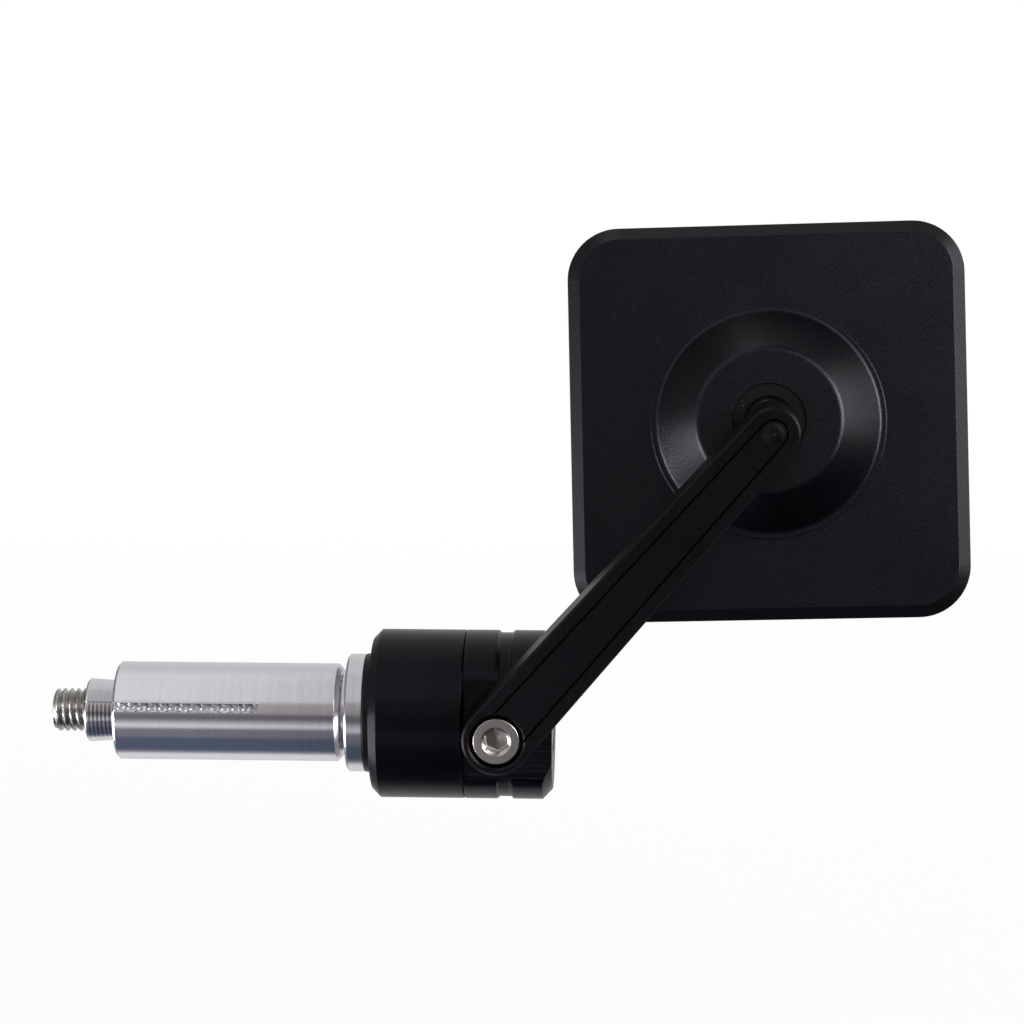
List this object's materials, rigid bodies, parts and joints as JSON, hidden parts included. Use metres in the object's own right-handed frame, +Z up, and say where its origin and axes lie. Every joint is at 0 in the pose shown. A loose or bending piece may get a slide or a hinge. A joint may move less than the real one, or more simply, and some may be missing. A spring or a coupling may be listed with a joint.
{
  "type": "motorcycle bar end mirror",
  "caption": "Square bar end mirror on a ball-jointed swinging arm, with a round weight and an expanding plug that clamps inside the handlebar.",
  "frame": {"origin": "on the handlebar axis, at the outer end of the plug's full diameter", "axes": "+X outward along the handlebar axis, +Z up, -Y towards the side that the arm and the mirror's back face"},
  "size_m": [0.1659, 0.0373, 0.1044],
  "materials": {
    "sleeve_aluminium": "bright machined, fine turned lines",
    "knurled_aluminium": "knurled, as machined",
    "wedge_aluminium": "machined with fine ridges",
    "collar_aluminium": "bright machined, fine turned lines",
    "seal_rubber": "black rubber",
    "anodised_black": "satin black anodised, turned",
    "shell_black": "satin black anodised, machined",
    "arm_black": "satin black anodised, milled",
    "stainless_screw": "stainless, drawn and turned",
    "bolt_steel": "stainless thread",
    "washer_steel": "plain stainless",
    "spring_steel": "dark spring steel",
    "bush_brass": "plain bearing bush",
    "washer_nylon": "black nylon",
    "stud_black": "blackened steel",
    "liner_nylon": "greenish grey nylon",
    "clamp_steel": "zinc plated steel",
    "pad_foam": "black adhesive foam",
    "mirror_glass": "silvered convex glass"
  },
  "bodies": {
    "plug": {"outer_sleeve": "sleeve_aluminium", "inner_sleeve": "knurled_aluminium", "collar": "collar_aluminium", "seal_ring": "seal_rubber", "barrel": "anodised_black"},
    "bolt": {"clamp_bolt": "bolt_steel"},
    "wedge": {"wedge_nut": "wedge_aluminium"},
    "cap": {"end_cap": "anodised_black", "bolt_washer": "washer_steel", "friction_washer": "washer_nylon", "pivot_screw": "stainless_screw", "spring_washer": "spring_steel"},
    "arm": {"arm": "arm_black", "pivot_bush": "bush_brass"},
    "stud": {"ball_stud": "stud_black"},
    "liner": {"ball_liner_front": "liner_nylon", "ball_liner_rear": "liner_nylon"},
    "head": {"head_shell": "shell_black", "disc_spring": "spring_steel", "clamp_plate": "clamp_steel", "clamp_screws": "clamp_steel", "adhesive_pad": "pad_foam", "mirror_glass": "mirror_glass"}
  },
  "joints": [
    {"name": "bolt_turn", "type": "hinge", "parent": "plug", "child": "bolt", "pos_m": [0.03, 0, 0], "axis": [-1, 0, 0], "range_deg": [0, 1440]},
    {"name": "wedge_travel", "type": "slide", "parent": "plug", "child": "wedge", "axis": [-1, 0, 0], "range_m": [0, 0.005]},
    {"name": "cap_swivel", "type": "hinge", "parent": "plug", "child": "cap", "pos_m": [0.03, 0, 0], "axis": [1, 0, 0], "continuous": true},
    {"name": "arm_swing", "type": "hinge", "parent": "cap", "child": "arm", "pos_m": [0.02975, -0.0132, 0], "axis": [0, 1, 0], "range_deg": [-41, 139]},
    {"name": "stud_spin", "type": "hinge", "parent": "arm", "child": "stud", "pos_m": [0.07728, -0.0035, 0.05462], "axis": [0, 1, 0], "continuous": true},
    {"name": "head_tilt", "type": "hinge", "parent": "stud", "child": "liner", "pos_m": [0.07728, -0.0035, 0.05462], "axis": [0.9861, 0, 0.1662], "range_deg": [-4.2, 23.7]},
    {"name": "head_roll", "type": "hinge", "parent": "liner", "child": "head", "pos_m": [0.07728, -0.0035, 0.05462], "axis": [-0.0282, -0.9855, 0.1675], "continuous": true}
  ],
  "couplings": [
    {"joint": "wedge_travel", "follows": "bolt_turn", "m_per_rad": 0.00019894}
  ]
}
